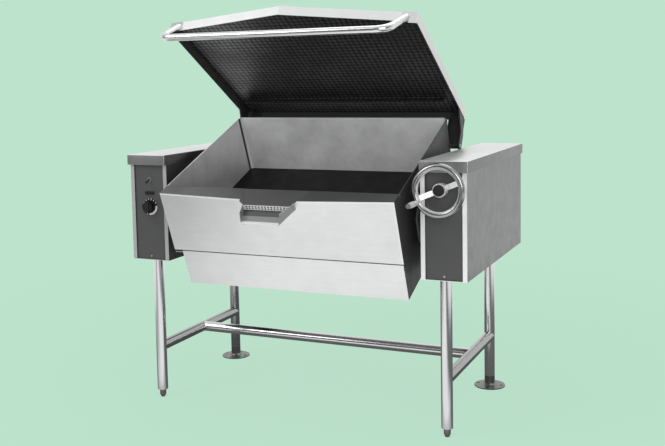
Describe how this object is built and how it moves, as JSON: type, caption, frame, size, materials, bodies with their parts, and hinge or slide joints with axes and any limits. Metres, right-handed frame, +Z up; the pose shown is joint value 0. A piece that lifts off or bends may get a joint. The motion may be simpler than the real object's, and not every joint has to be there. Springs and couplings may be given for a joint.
{
  "type": "tilting bratt pan",
  "caption": "Free-standing rectangular braising pan that tilts on trunnions between two consoles by a handwheel and worm drive, with a hinged lid and a pouring spout.",
  "frame": {"origin": "on the floor, in the middle of the outline at rest", "axes": "+X to the right as seen from the front, +Y to the back, +Z up"},
  "size_m": [1.332, 1.0226, 1.4802],
  "materials": {
    "pan_steel": "brushed stainless sheet",
    "lid_steel": "patterned stainless sheet",
    "casing_steel": "dark brushed stainless sheet",
    "panel_steel": "dark satin stainless panel",
    "cap_steel": "bright stainless cap",
    "tube_steel": "polished stainless tube",
    "foot_steel": "turned steel",
    "wheel_chrome": "polished cast handwheel",
    "black_plastic": "moulded phenolic",
    "dial_face": "printed dial",
    "lamp_lens": "dark lens",
    "grey_plastic": "moulded electrical housings",
    "forged_steel": "grey painted plate",
    "arm_paint": "black painted lid arms",
    "bearing_iron": "machined casting",
    "shaft_steel": "ground steel",
    "bronze": "machined bronze",
    "plate_steel": "ground cooking plate",
    "element_alloy": "sheathed element",
    "mineral_wool": "mineral wool board"
  },
  "bodies": {
    "stand": {"front_left_leg": "tube_steel", "front_right_leg": "tube_steel", "rear_left_leg": "tube_steel", "rear_right_leg": "tube_steel", "left_stretcher": "tube_steel", "right_stretcher": "tube_steel", "cross_stretcher": "tube_steel", "left_console_shell": "casing_steel", "right_console_shell": "casing_steel", "left_front_panel": "panel_steel", "right_front_panel": "panel_steel", "left_console_cap": "cap_steel", "right_console_cap": "cap_steel", "left_carrier_plate": "forged_steel", "right_carrier_plate": "forged_steel", "left_trunnion_bearing": "bearing_iron", "right_trunnion_bearing": "bearing_iron", "frame_bolts": "shaft_steel", "bronze_bushes": "bronze", "worm_bracket": "bearing_iron", "dial_plate": "dial_face", "switch_body": "grey_plastic", "pilot_lamp": "lamp_lens", "console_electrics": "grey_plastic", "supply_gland": "black_plastic", "panel_screws": "shaft_steel"},
    "pan": {"pan_shell": "pan_steel", "cooking_plate": "plate_steel", "front_skin": "pan_steel", "pour_spout": "pan_steel", "heater_casing": "pan_steel", "bottom_cover": "pan_steel", "heating_elements": "element_alloy", "element_clamps": "forged_steel", "insulation_slab": "mineral_wool", "trunnion_doublers": "forged_steel", "left_trunnion": "shaft_steel", "right_trunnion": "shaft_steel", "drive_key": "shaft_steel", "worm_wheel": "bronze", "hinge_housing": "pan_steel", "torsion_springs": "shaft_steel"},
    "lid": {"lid_shell": "lid_steel", "lid_handle": "tube_steel", "left_lid_arm": "arm_paint", "right_lid_arm": "arm_paint", "hinge_shaft": "shaft_steel", "drip_baffle": "lid_steel"},
    "handwheel": {"worm_shaft": "shaft_steel", "handwheel": "wheel_chrome", "handwheel_cap": "black_plastic", "crank_spindle": "shaft_steel"},
    "crank_grip": {"crank_grip": "wheel_chrome"},
    "thermostat_knob": {"thermostat_knob": "black_plastic"},
    "switch_lever": {"switch_lever": "black_plastic"},
    "strainer": {"strainer": "pan_steel"},
    "front_left_foot": {"front_left_foot": "foot_steel"},
    "front_right_foot": {"front_right_foot": "foot_steel"},
    "rear_left_foot": {"rear_left_foot": "foot_steel"},
    "rear_right_foot": {"rear_right_foot": "foot_steel"}
  },
  "joints": [
    {"name": "pan_tilt", "type": "hinge", "parent": "stand", "child": "pan", "pos_m": [0, -0.086, 0.741], "axis": [1, 0, 0], "range_deg": [-21.85, 63.15]},
    {"name": "lid_swing", "type": "hinge", "parent": "pan", "child": "lid", "pos_m": [0, 0.23916, 0.9565], "axis": [1, 0, 0], "range_deg": [-25, 53.1]},
    {"name": "handwheel_turn", "type": "hinge", "parent": "stand", "child": "handwheel", "pos_m": [0.575, -0.35, 0.855], "axis": [0, 1, 0], "range_deg": [-1049.8, 3032.2]},
    {"name": "crank_spin", "type": "hinge", "parent": "handwheel", "child": "crank_grip", "pos_m": [0.50572, -0.39, 0.815], "axis": [0, 1, 0], "continuous": true},
    {"name": "thermostat_turn", "type": "hinge", "parent": "stand", "child": "thermostat_knob", "pos_m": [-0.58, -0.303, 0.752], "axis": [0, 1, 0], "range_deg": [0, 270]},
    {"name": "switch_tip", "type": "hinge", "parent": "stand", "child": "switch_lever", "pos_m": [-0.58, -0.30375, 0.855], "axis": [1, 0, 0], "range_deg": [-50, 0]},
    {"name": "strainer_lift", "type": "slide", "parent": "pan", "child": "strainer", "axis": [0, -0.3722, 0.9282], "range_m": [0, 0.04]},
    {"name": "front_left_foot_screw", "type": "slide", "parent": "stand", "child": "front_left_foot", "axis": [0, 0, -1], "range_m": [0, 0.02]},
    {"name": "front_right_foot_screw", "type": "slide", "parent": "stand", "child": "front_right_foot", "axis": [0, 0, -1], "range_m": [0, 0.02]},
    {"name": "rear_left_foot_screw", "type": "slide", "parent": "stand", "child": "rear_left_foot", "axis": [0, 0, -1], "range_m": [0, 0.02]},
    {"name": "rear_right_foot_screw", "type": "slide", "parent": "stand", "child": "rear_right_foot", "axis": [0, 0, -1], "range_m": [0, 0.02]}
  ],
  "couplings": [
    {"joint": "handwheel_turn", "follows": "pan_tilt", "ratio": 48}
  ]
}
